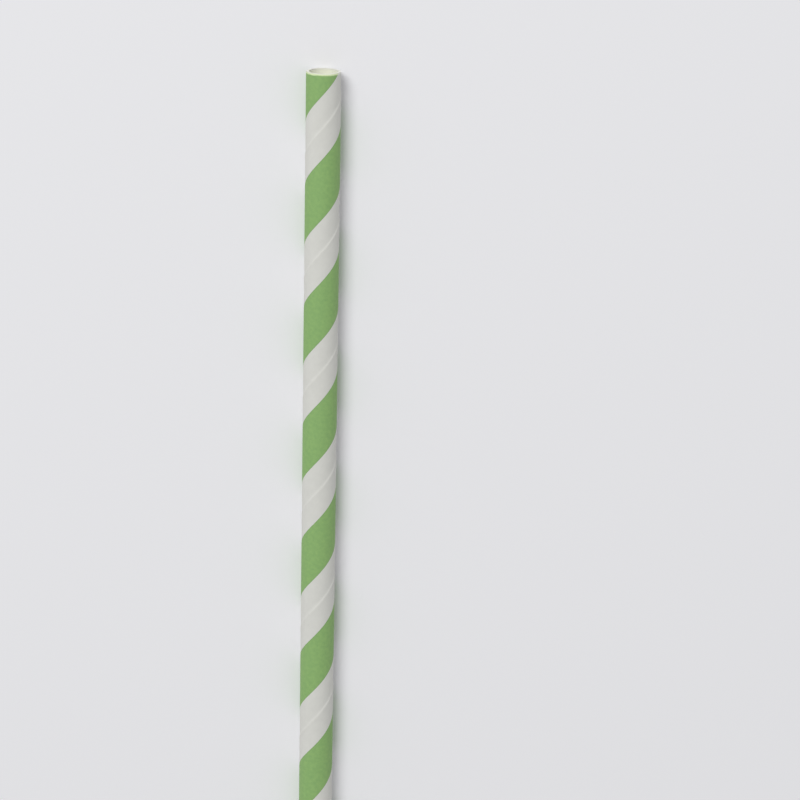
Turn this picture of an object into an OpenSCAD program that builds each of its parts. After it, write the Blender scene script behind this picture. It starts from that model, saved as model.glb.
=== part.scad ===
// Paper drinking straw: three strips of paper wound in a spiral and glued into one tube,
// with a stripe printed on the outer strip, which winds up the straw as the strip does.
// It lies on its side along Y, with the mouth end towards +Y and its lowest line at Z = 0.

/* [Tube] */
// Length from end to end
straw_length = 197; // [60:1:260]
// Outside diameter of the bare paper
outer_d = 6; // [5:0.1:12]
// Thickness of one ply of paper
ply_t = 0.14; // [0.1:0.01:0.2]
// Number of plies glued together
plies = 3; // [2:1:4]

/* [Printed stripe] */
// Length of straw that one turn of the strip and its stripe covers
turn_lead = 21.7; // [14:0.1:40]
// Share of the strip's width that is printed
stripe_share = 0.49; // [0.2:0.01:0.8]
// Angle at the mouth from the straw's top to the middle of the stripe
stripe_angle = 29; // [-180:1:180]
// Thickness of the printed film on the paper
print_t = 0.03; // [0.02:0.01:0.05]

/* [Hidden] */
$fn = 96;
outer_r = outer_d / 2;
inner_r = outer_r - plies * ply_t;
print_r = outer_r + print_t;
stripe_deg = 360 * stripe_share;
// The straw's top is at -90 degrees while it still stands on end
stripe_mid = -90 - stripe_angle;
// How far a cutter runs past what it cuts
over = 1;
// Flat facets of the winding cutter in one turn of the straw
turn_facets = 24;
// Facets of the winding cutter round the straw
arc_facets = 4;

// A sector round the straw's axis that climbs as the paper strip does, one turn in each lead.
// Its middle is at the angle mid at the mouth. Its sides are true only near the straw's outside.
module wound_sector(mid, width) {
    height = straw_length + 2 * over;
    twist = 360 * height / turn_lead;
    step = width / arc_facets;
    // The cutter's facets cut corners, so its sides start outside the print by more than they lose
    side_r = (print_r + ply_t) / cos(180 / turn_facets);
    far_r = 2 * outer_r;
    root_r = outer_r - ply_t;
    outside = [for (i = [0:arc_facets]) let (a = i * step - width / 2,
        r = i == 0 || i == arc_facets ? side_r : far_r) r * [cos(a), sin(a)]];
    inside = [for (i = [arc_facets:-1:0]) let (a = i * step - width / 2) root_r * [cos(a), sin(a)]];
    outline = concat(outside, inside);
    start = mid - 360 * (straw_length + over) / turn_lead;
    translate([0, 0, -over])
        rotate([0, 0, start])
            linear_extrude(height = height, twist = -twist, slices = ceil(twist * turn_facets / 360),
                segments = len(outline))
                polygon(outline);
}

// A standing tube as long as the straw
module standing_tube(r_in, r_out) {
    difference() {
        cylinder(h = straw_length, r = r_out);
        translate([0, 0, -over])
            cylinder(h = straw_length + 2 * over, r = r_in);
    }
}

// Turns the standing straw down on its side
module laid_down() {
    translate([0, -straw_length / 2, print_r])
        rotate([-90, 0, 0])
            children();
}

module paper_tube() {
    color("whitesmoke")
        laid_down()
            standing_tube(inner_r, outer_r);
}

module printed_stripe() {
    color("yellowgreen")
        laid_down()
            intersection() {
                standing_tube(outer_r, print_r);
                wound_sector(stripe_mid, stripe_deg);
            }
}

paper_tube();
printed_stripe();
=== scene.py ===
# A striped paper drinking straw that lies on its side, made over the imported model: the tube
# of wound paper with its seams, the stripe printed on it, and the floor, light and camera.
import math

import bmesh
import bpy
from mathutils import Euler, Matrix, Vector


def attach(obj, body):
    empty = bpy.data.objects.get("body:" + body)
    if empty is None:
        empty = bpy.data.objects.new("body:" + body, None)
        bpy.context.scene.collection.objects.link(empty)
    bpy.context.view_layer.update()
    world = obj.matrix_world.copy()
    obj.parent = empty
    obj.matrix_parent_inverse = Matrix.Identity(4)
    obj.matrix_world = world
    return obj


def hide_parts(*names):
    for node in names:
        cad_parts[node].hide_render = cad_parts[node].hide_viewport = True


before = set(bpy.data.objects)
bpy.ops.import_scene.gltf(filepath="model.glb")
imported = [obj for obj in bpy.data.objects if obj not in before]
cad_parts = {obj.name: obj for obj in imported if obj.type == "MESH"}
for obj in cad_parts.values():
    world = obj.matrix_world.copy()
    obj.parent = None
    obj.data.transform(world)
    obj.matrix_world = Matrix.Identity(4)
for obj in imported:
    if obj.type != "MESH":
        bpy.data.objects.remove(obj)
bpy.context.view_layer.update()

# ---- Wound paper ----
# The straw itself: three strips of uncoated white paper, each as wide as one turn of the
# winding. They are wound in a spiral round a steel rod, glued over their whole faces, and the
# edges of each strip meet along a spiral seam, a third of a turn from the next strip's seam.
STRAW_LENGTH = 197.0
TUBE_R = 3.0
AXIS_HEIGHT = 3.03
# The straw's sizes are in mm, and this turns them into metres
MM = 0.001
# The length of straw that one turn of a strip covers, and the facets of that turn
LEAD = 21.7
FACETS = 96
# A strip's section is drawn straight below the axis, a quarter of a turn from +X
SECTION_TURN = 0.25
# Turns wound to excess, which the cuts take off
SPARE_TURNS = 2
# How far each ring of edges lies behind a cut. The first is the cut itself.
CUT_RINGS = (0, 0.06, 0.16, 0.3, 0.5, 0.7)
# The knife's squeeze: how deep it reaches, how far in it presses the edge, how uneven it is
PRESSED_DEPTH = 0.5
SQUEEZE = 0.05
RAGGEDNESS = 0.04
# Edges bent by more than this are cut edges, and the rest is smooth paper
SHARP_ANGLE = math.radians(35)
# Half of the fine slit where the two edges of a strip meet
HALF_GAP = 0.0015
# The radii of each ply's two faces. The fine slits between the plies show at the cuts.
INNER_PLY = (2.58, 2.715)
MIDDLE_PLY = (2.725, 2.855)
OUTER_PLY_INSIDE = 2.865
PAPER_R = 2.99
# The outer ply's radius at its two bulging edges
SEAM_EDGE_R = 3.028
# Where the outer strip's seam meets the mouth, in turns from +X round by the underside
OUTER_SEAM = 0.184
# These set each strip's ragged edge and its clouds apart from the others'
INNER_PHASE, MIDDLE_PHASE, OUTER_PHASE = 0.4, 2.1, 3.6
# The inner and middle plies' cream is painted light: the glow of light shining through the wall
# and its green print, which makes the bore paler and yellower than its white paper is
CREAM_WITH_PAINTED_LIGHT = (246, 247, 230)
CLEAR_WHITE = (222, 222, 216)
# The pale white of raw paper at the cuts, also used for the painted highlight along the seam's
# edges
RAW_WHITE_AND_HIGHLIGHT = (244, 244, 236)


def cut_strip(section, seam):
    """Winds a strip round the straw's axis, one turn in each lead, and cuts both ends square.
    Its section is a list of (distance along the straw, radius) in mm, round its outline."""
    strip = bmesh.new()
    start = LEAD * (seam - SECTION_TURN - SPARE_TURNS)
    corners = [
        strip.verts.new((0, (STRAW_LENGTH / 2 - start - along) * MM, (AXIS_HEIGHT - radius) * MM))
        for along, radius in section
    ]
    outline = [strip.edges.new(pair) for pair in zip(corners, corners[1:] + corners[:1])]
    turns = math.ceil(STRAW_LENGTH / LEAD) + SPARE_TURNS
    bmesh.ops.spin(
        strip,
        geom=corners + outline,
        cent=(0, 0, AXIS_HEIGHT * MM),
        axis=(0, -1, 0),
        dvec=(0, -LEAD / FACETS * MM, 0),
        angle=2 * math.pi * turns,
        steps=FACETS * turns,
    )
    for side in (1, -1):
        # The rings just behind each cut let the paper bend there
        for depth in CUT_RINGS:
            plane = side * (STRAW_LENGTH / 2 - depth) * MM
            parts = strip.verts[:] + strip.edges[:] + strip.faces[:]
            if depth > 0:
                parts = [
                    part
                    for part in strip.edges[:] + strip.faces[:]
                    if min(v.co.y for v in part.verts) < plane < max(v.co.y for v in part.verts)
                ]
            cut = bmesh.ops.bisect_plane(
                strip,
                geom=parts,
                dist=1e-8,
                plane_co=(0, plane, 0),
                plane_no=(0, side, 0),
                clear_outer=depth == 0,
            )
            if depth == 0:
                rim = [part for part in cut["geom_cut"] if isinstance(part, bmesh.types.BMEdge)]
                bmesh.ops.holes_fill(strip, edges=rim, sides=0)
    bmesh.ops.recalc_face_normals(strip, faces=strip.faces[:])
    return strip


def press_ends(strip, phase):
    """The knife squeezes the paper in a little at both ends and leaves its edge uneven."""
    for vertex in strip.verts:
        depth = STRAW_LENGTH / 2 - abs(vertex.co.y) / MM
        if depth > PRESSED_DEPTH:
            continue
        outwards = Vector((vertex.co.x, 0, vertex.co.z - AXIS_HEIGHT * MM)).normalized()
        squeeze = SQUEEZE * max(0, 1 - depth / PRESSED_DEPTH) ** 2
        vertex.co -= outwards * squeeze * MM
        on_cut = depth < 0.01
        if on_cut:
            # A slow wave and a fast one round the straw, together from 0 to 1
            turn = math.atan2(outwards.z, outwards.x)
            ragged = 0.5 + 0.3 * math.sin(3 * turn + phase) + 0.2 * math.sin(11 * turn + 2 * phase)
            vertex.co.y -= math.copysign(RAGGEDNESS * ragged * MM, vertex.co.y)


def put_in_scene(name, contents):
    """Makes an object of a mesh, a lamp or a camera, and adds it to the scene."""
    thing = bpy.data.objects.new(name, contents)
    bpy.context.scene.collection.objects.link(thing)
    return thing


def finish_piece(name, strips, materials):
    """Makes a piece of one or more strips, each with its own material, with smooth paper and
    sharp cut edges, and lets it ride on the straw."""
    piece_mesh = bmesh.new()
    for index, strip in enumerate(strips):
        for face in strip.faces:
            face.material_index = index
        strip_mesh = bpy.data.meshes.new("strip")
        strip.to_mesh(strip_mesh)
        strip.free()
        piece_mesh.from_mesh(strip_mesh)
        bpy.data.meshes.remove(strip_mesh)
    mesh = bpy.data.meshes.new(name)
    for material in materials:
        mesh.materials.append(material)
    piece_mesh.to_mesh(mesh)
    piece_mesh.free()
    mesh.shade_smooth()
    mesh.set_sharp_from_angle(angle=SHARP_ANGLE)
    piece = put_in_scene(name, mesh)
    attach(piece, "root")
    return piece


class Signal:
    """The output of a shader node. Arithmetic on it adds Math nodes."""

    def __init__(self, shader, socket):
        self.shader = shader
        self.socket = socket

    def __add__(self, other):
        return self.shader.math("ADD", self, other)

    def __radd__(self, other):
        return self.shader.math("ADD", other, self)

    def __sub__(self, other):
        return self.shader.math("SUBTRACT", self, other)

    def __rsub__(self, other):
        return self.shader.math("SUBTRACT", other, self)

    def __mul__(self, other):
        return self.shader.math("MULTIPLY", self, other)

    def __rmul__(self, other):
        return self.shader.math("MULTIPLY", other, self)

    def __truediv__(self, other):
        return self.shader.math("DIVIDE", self, other)

    def __rtruediv__(self, other):
        return self.shader.math("DIVIDE", other, self)

    def siblings(self):
        """Every output of the node that this one belongs to."""
        return [Signal(self.shader, socket) for socket in self.socket.node.outputs]


class Shader:
    """The node tree of a material or of the world, to which one method adds any node."""

    def __init__(self, owner):
        owner.use_nodes = True
        self.owner = owner
        self.tree = owner.node_tree
        self.tree.nodes.clear()

    def add(self, kind, settings=None, inputs=None, output=None):
        """Adds a node, fills its settings and then its sockets, and returns one output."""
        node = self.tree.nodes.new(kind)
        for key, value in (settings or {}).items():
            setattr(node, key, value)
        for key, value in (inputs or {}).items():
            named = [s for s in node.inputs if s.enabled and s.name == key]
            socket = named[0] if named else node.inputs[key]
            if isinstance(value, Signal):
                self.tree.links.new(value.socket, socket)
            else:
                socket.default_value = value
        shown = [s for s in node.outputs if s.enabled and output in (None, s.name)]
        return Signal(self, shown[0]) if shown else None

    def math(self, operation, *values):
        """A number worked out from one or two others."""
        return self.add("ShaderNodeMath", {"operation": operation}, dict(enumerate(values)))

    def coordinates(self):
        """The x, y and z of each point of the piece, in metres."""
        point = self.add("ShaderNodeTexCoord", output="Object")
        return self.add("ShaderNodeSeparateXYZ", None, {0: point}).siblings()

    def tint(self, amount, below, above):
        """The colour below where the amount is 0, and above where it is 1."""
        settings = {"data_type": "RGBA", "clamp_factor": True}
        return self.add("ShaderNodeMix", settings, {"Factor": amount, "A": below, "B": above})

    def fade(self, value, start, end):
        """A smooth step from 0 where the value is at start to 1 where it is at end."""
        settings = {"interpolation_type": "SMOOTHSTEP"}
        sockets = {"Value": value, "From Min": start, "From Max": end}
        return self.add("ShaderNodeMapRange", settings, sockets)

    def noise(self, across, along, layer, scale, detail=2.0):
        """Soft noise from about 0 to 1, with spots about 1 / scale mm across."""
        place = self.add("ShaderNodeCombineXYZ", None, {0: across, 1: along, 2: layer})
        sockets = {"Vector": place, "Scale": scale, "Detail": detail}
        return self.add("ShaderNodeTexNoise", None, sockets)

    def surface(self, colour, roughness, height, relief):
        """The finished material, whose height from 0 to 1 stands for relief in mm."""
        bump = self.add("ShaderNodeBump", None, {"Distance": relief * MM, "Height": height})
        sockets = {"Base Color": colour, "Roughness": roughness, "Normal": bump}
        paint = self.add("ShaderNodeBsdfPrincipled", None, sockets)
        self.add("ShaderNodeOutputMaterial", None, {"Surface": paint})
        return self.owner


def colour(red, green, blue, brightness=1.0):
    """A screen colour of 0 to 255 as the linear colour that a shader takes."""
    levels = [level / 255 for level in (red, green, blue)]
    linear = [
        level / 12.92 if level <= 0.04045 else ((level + 0.055) / 1.055) ** 2.4
        for level in levels
    ]
    return (*[brightness * level for level in linear], 1)


GIRTH = 2 * math.pi * TUBE_R
STRIP_WIDTH = GIRTH * LEAD / math.hypot(GIRTH, LEAD)


def strip_places(shader, seam):
    """The places across and along a wound strip, and behind the nearer cut, in mm."""
    x, y, z = shader.coordinates()
    turn = shader.math("ARCTAN2", z - AXIS_HEIGHT * MM, x) / (2 * math.pi)
    down = STRAW_LENGTH / 2 - y / MM
    wound = down / LEAD - turn - seam
    lap = shader.math("FLOOR", wound)
    across = (wound - lap) * STRIP_WIDTH
    along = ((turn + lap) * GIRTH**2 + down * LEAD) / math.hypot(GIRTH, LEAD)
    depth = shader.math("MINIMUM", down, STRAW_LENGTH - down)
    return across, along, depth


def white_paper(name, seam, white, layer):
    """Uncoated white paper, cloudy where its fibres lie thicker, with fine fibres along it.
    Beside the seam it is darker, partly a trace of glue and partly painted shade below the seam's
    step; its edges are paler, partly raw paper and partly a painted highlight on the seam's ridge;
    and its cuts are raw."""
    shader = Shader(bpy.data.materials.new(name))
    across, along, depth = strip_places(shader, seam)
    clouds = shader.noise(across, along, layer, scale=0.8, detail=3.0)
    fibres = shader.noise(across * 7, along * 0.9, layer, scale=1.0)
    grain = shader.noise(across, along, layer, scale=6.0)
    tone = clouds * 0.6 + fibres * 0.25 + grain * 0.15
    thin, thick = (colour(*white, brightness) for brightness in (0.93, 1.07))
    paper = shader.tint(tone, thin, thick)
    # Painted shade: beside the seam, at the strip's starting edge, the paper is darker, partly a
    # trace of glue and partly the shade below the seam's step
    glue_and_painted_shade = shader.fade(across, start=0.9, end=0.3) * 0.15
    paper = shader.tint(glue_and_painted_shade, paper, colour(*white, brightness=0.92))
    # Painted highlight: the strip's edges are paler, partly raw paper and partly the light that
    # the seam's ridge catches
    off_edge = shader.math("MINIMUM", across, STRIP_WIDTH - across)
    lip_and_painted_highlight = shader.fade(off_edge, start=0.32, end=0.08) * 0.08
    raw = shader.fade(depth, start=0.34, end=0.14)
    paper = shader.tint(shader.math("MAXIMUM", lip_and_painted_highlight, raw), paper, colour(*RAW_WHITE_AND_HIGHLIGHT))
    return shader.surface(paper, roughness=0.85, height=clouds * 0.4 + fibres * 0.6, relief=0.012)


def plain_section(inside, outside):
    """The section of a strip with square edges, from seam to seam."""
    low, high = HALF_GAP, LEAD - HALF_GAP
    return [(low, inside), (high, inside), (high, outside), (low, outside)]


# Along its seam the outer strip's edges bulge: each turn dips a little before its end and then
# rises in a steep step, and the next turn starts from there and sinks back
outer_section = [
    (HALF_GAP, OUTER_PLY_INSIDE),
    (LEAD - HALF_GAP, OUTER_PLY_INSIDE),
    (LEAD - HALF_GAP, SEAM_EDGE_R),
    (LEAD - 0.1, 3.019),
    (LEAD - 0.2, 3.0),
    (LEAD - 0.32, 2.974),
    (LEAD - 0.44, 2.951),
    (LEAD - 0.56, 2.942),
    (LEAD - 1.2, 2.954),
    (LEAD - 2.2, 2.975),
    (LEAD - 3.5, PAPER_R),
    (3.4, PAPER_R),
    (2.6, 2.992),
    (1.6, 3.002),
    (0.8, 3.015),
    (0.3, 3.026),
    (0.14, 3.03),
    (0.06, 3.03),
    (HALF_GAP, SEAM_EDGE_R),
]
strips, papers = [], []
# The inner and middle plies take the cream with its painted light, and the outer ply its clear
# white
for label, seam, section, white, phase in (
    ("inner", OUTER_SEAM + 2 / 3, plain_section(*INNER_PLY), CREAM_WITH_PAINTED_LIGHT, INNER_PHASE),
    ("middle", OUTER_SEAM + 1 / 3, plain_section(*MIDDLE_PLY), CREAM_WITH_PAINTED_LIGHT, MIDDLE_PHASE),
    ("outer", OUTER_SEAM, outer_section, CLEAR_WHITE, OUTER_PHASE),
):
    strip = cut_strip(section, seam)
    press_ends(strip, phase)
    strips.append(strip)
    papers.append(white_paper(label + "_paper", seam, white, layer=phase))
paper_piece = finish_piece("wound_paper", strips, papers)
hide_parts("paper_tube")

# ---- Printed stripe ----
# One flat green, printed along the middle of the outer strip before it is wound, so that it
# climbs the straw with the strip. It fills about half of its width and is worn at the cuts.
STRIPE_GREEN = (139, 180, 110)
THICK_INK = (131, 177, 110)
THIN_INK = (147, 183, 110)
WORN_INK = (226, 240, 192)
# Where the stripe's middle meets the mouth, in turns counted as for the outer seam
STRIPE_MIDDLE = 0.6694
STRIPE_SHARE = 0.49
# The ink starts inside the paper's face and thins out towards its two edges
INK_INSIDE, INK_EDGE, INK_SHOULDER, INK_TOP = 2.985, 2.995, 3.004, 3.006
stripe_start = LEAD * (STRIPE_MIDDLE - OUTER_SEAM - STRIPE_SHARE / 2)
stripe_end = stripe_start + LEAD * STRIPE_SHARE
stripe_section = [
    (stripe_start, INK_INSIDE),
    (stripe_end, INK_INSIDE),
    (stripe_end, INK_EDGE),
    (stripe_end - 0.1, INK_SHOULDER),
    (stripe_end - 0.3, INK_TOP),
    (stripe_start + 0.3, INK_TOP),
    (stripe_start + 0.1, INK_SHOULDER),
    (stripe_start, INK_EDGE),
]


def green_print(name):
    """Ink that has soaked into the paper: mottled, with a darker line where the printing
    plate squeezed it out at the stripe's edges, and rubbed off where the straw was cut."""
    shader = Shader(bpy.data.materials.new(name))
    across, along, depth = strip_places(shader, OUTER_SEAM)
    mottle = shader.noise(across, along, layer=8.0, scale=1.6, detail=3.0)
    specks = shader.noise(across, along, layer=9.0, scale=7.0)
    blotches = mottle * 0.65 + specks * 0.35
    thick, thin = colour(*THICK_INK, brightness=0.84), colour(*THIN_INK, brightness=1.16)
    ink = shader.tint(blotches, thick, thin)
    off_middle = shader.math("ABSOLUTE", across - STRIP_WIDTH * (STRIPE_MIDDLE - OUTER_SEAM))
    half_stripe = STRIP_WIDTH * STRIPE_SHARE / 2
    squeezed = shader.fade(off_middle, start=half_stripe - 0.2, end=half_stripe - 0.06)
    ink = shader.tint(squeezed * 0.5, ink, colour(*STRIPE_GREEN, brightness=0.75))
    worn = shader.fade(depth + mottle * 0.3, start=0.52, end=0.32)
    ink = shader.tint(worn, ink, colour(*WORN_INK))
    return shader.surface(ink, roughness=0.7, height=mottle * 0.5 + specks * 0.5, relief=0.006)


stripe = cut_strip(stripe_section, OUTER_SEAM)
press_ends(stripe, OUTER_PHASE)
stripe_piece = finish_piece("green_stripe", [stripe], [green_print("stripe_ink")])
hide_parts("printed_stripe")

# ---- Floor ----
# A plain pale surface that the straw lies on, large enough to fill every view. The camera
# sees it a little lighter than it is for the light, and far off it passes into the backdrop.
FLOOR_GREY = (244, 244, 247)
FLOOR_SEEN = (249, 249, 252)
BACKDROP_GREY = (230, 230, 233)
# How far the floor reaches and where its fade starts and ends, in metres from its middle
FLOOR_REACH = 4
FADE_START = 0.2
FADE_END = 0.9
floor = bmesh.new()
bmesh.ops.create_grid(floor, x_segments=1, y_segments=1, size=FLOOR_REACH)
floor_mesh = bpy.data.meshes.new("floor")
floor.to_mesh(floor_mesh)
floor.free()
floor_shader = Shader(bpy.data.materials.new("floor_paint"))
floor_x, floor_y = floor_shader.coordinates()[:2]
distance = floor_shader.math("SQRT", floor_x * floor_x + floor_y * floor_y)
far_off = floor_shader.fade(distance, FADE_START, FADE_END)
plain, seen_near = (
    floor_shader.add("ShaderNodeBsdfDiffuse", None, {"Color": colour(*grey)})
    for grey in (FLOOR_GREY, FLOOR_SEEN)
)
seen_far = floor_shader.add("ShaderNodeEmission", None, {"Color": colour(*BACKDROP_GREY)})
seen_floor = floor_shader.add(
    "ShaderNodeMixShader", None, {0: far_off, 1: seen_near, 2: seen_far}
)
camera_sees = floor_shader.add("ShaderNodeLightPath", output="Is Camera Ray")
floor_paint = floor_shader.add(
    "ShaderNodeMixShader", None, {0: camera_sees, 1: plain, 2: seen_floor}
)
floor_shader.add("ShaderNodeOutputMaterial", None, {"Surface": floor_paint})
floor_mesh.materials.append(floor_shader.owner)
floor_piece = put_in_scene("floor", floor_mesh)

# ---- Light ----
# An even white room, which also shows behind the floor's edge, and one wide soft lamp
# above the straw, to its left and towards its mouth. Places are in metres.
ROOM_WHITE = (1, 1, 1, 1)
ROOM_LEVEL = 0.42
LAMP_PLACE = Vector((-0.56, 1.16, 1.52))
LAMP_WIDTH = 1.0
LAMP_POWER = 20.4
world = bpy.data.worlds.new("room")
bpy.context.scene.world = world
room = Shader(world)
camera_ray, glossy_ray, passing_ray = (
    room.add("ShaderNodeLightPath", output=ray)
    for ray in ("Is Camera Ray", "Is Glossy Ray", "Is Transmission Ray")
)
seen = room.math("MAXIMUM", room.math("MAXIMUM", camera_ray, glossy_ray), passing_ray)
light = room.add("ShaderNodeBackground", None, {"Color": ROOM_WHITE, "Strength": ROOM_LEVEL})
backdrop = room.add("ShaderNodeBackground", None, {"Color": colour(*BACKDROP_GREY)})
mixed = room.add("ShaderNodeMixShader", None, {0: seen, 1: light, 2: backdrop})
room.add("ShaderNodeOutputWorld", None, {"Surface": mixed})
lamp = bpy.data.lights.new("lamp", "AREA")
lamp.shape = "DISK"
lamp.size = LAMP_WIDTH
lamp.energy = LAMP_POWER
lamp_object = put_in_scene("lamp", lamp)
lamp_object.location = LAMP_PLACE
lamp_object.rotation_euler = LAMP_PLACE.to_track_quat("Z", "Y").to_euler()

# ---- Camera ----
# It looks down on the straw, with the mouth at the top of the picture and the other end
# below its lower edge. Its place and lens are in mm, and its tilt is in degrees.
CAMERA_PLACE = Vector((14.057, 191.779, 480.423))
CAMERA_TILT = (-17.6004, 0.3539, 1.1155)
CAMERA_LENS = 128.341
SENSOR_WIDTH = 36
camera = bpy.data.cameras.new("camera")
camera.lens = CAMERA_LENS
camera.sensor_width = SENSOR_WIDTH
camera_object = put_in_scene("camera", camera)
camera_object.location = CAMERA_PLACE * MM
camera_object.rotation_euler = Euler([math.radians(angle) for angle in CAMERA_TILT])
bpy.context.scene.camera = camera_object
bpy.context.scene.view_settings.view_transform = "Standard"
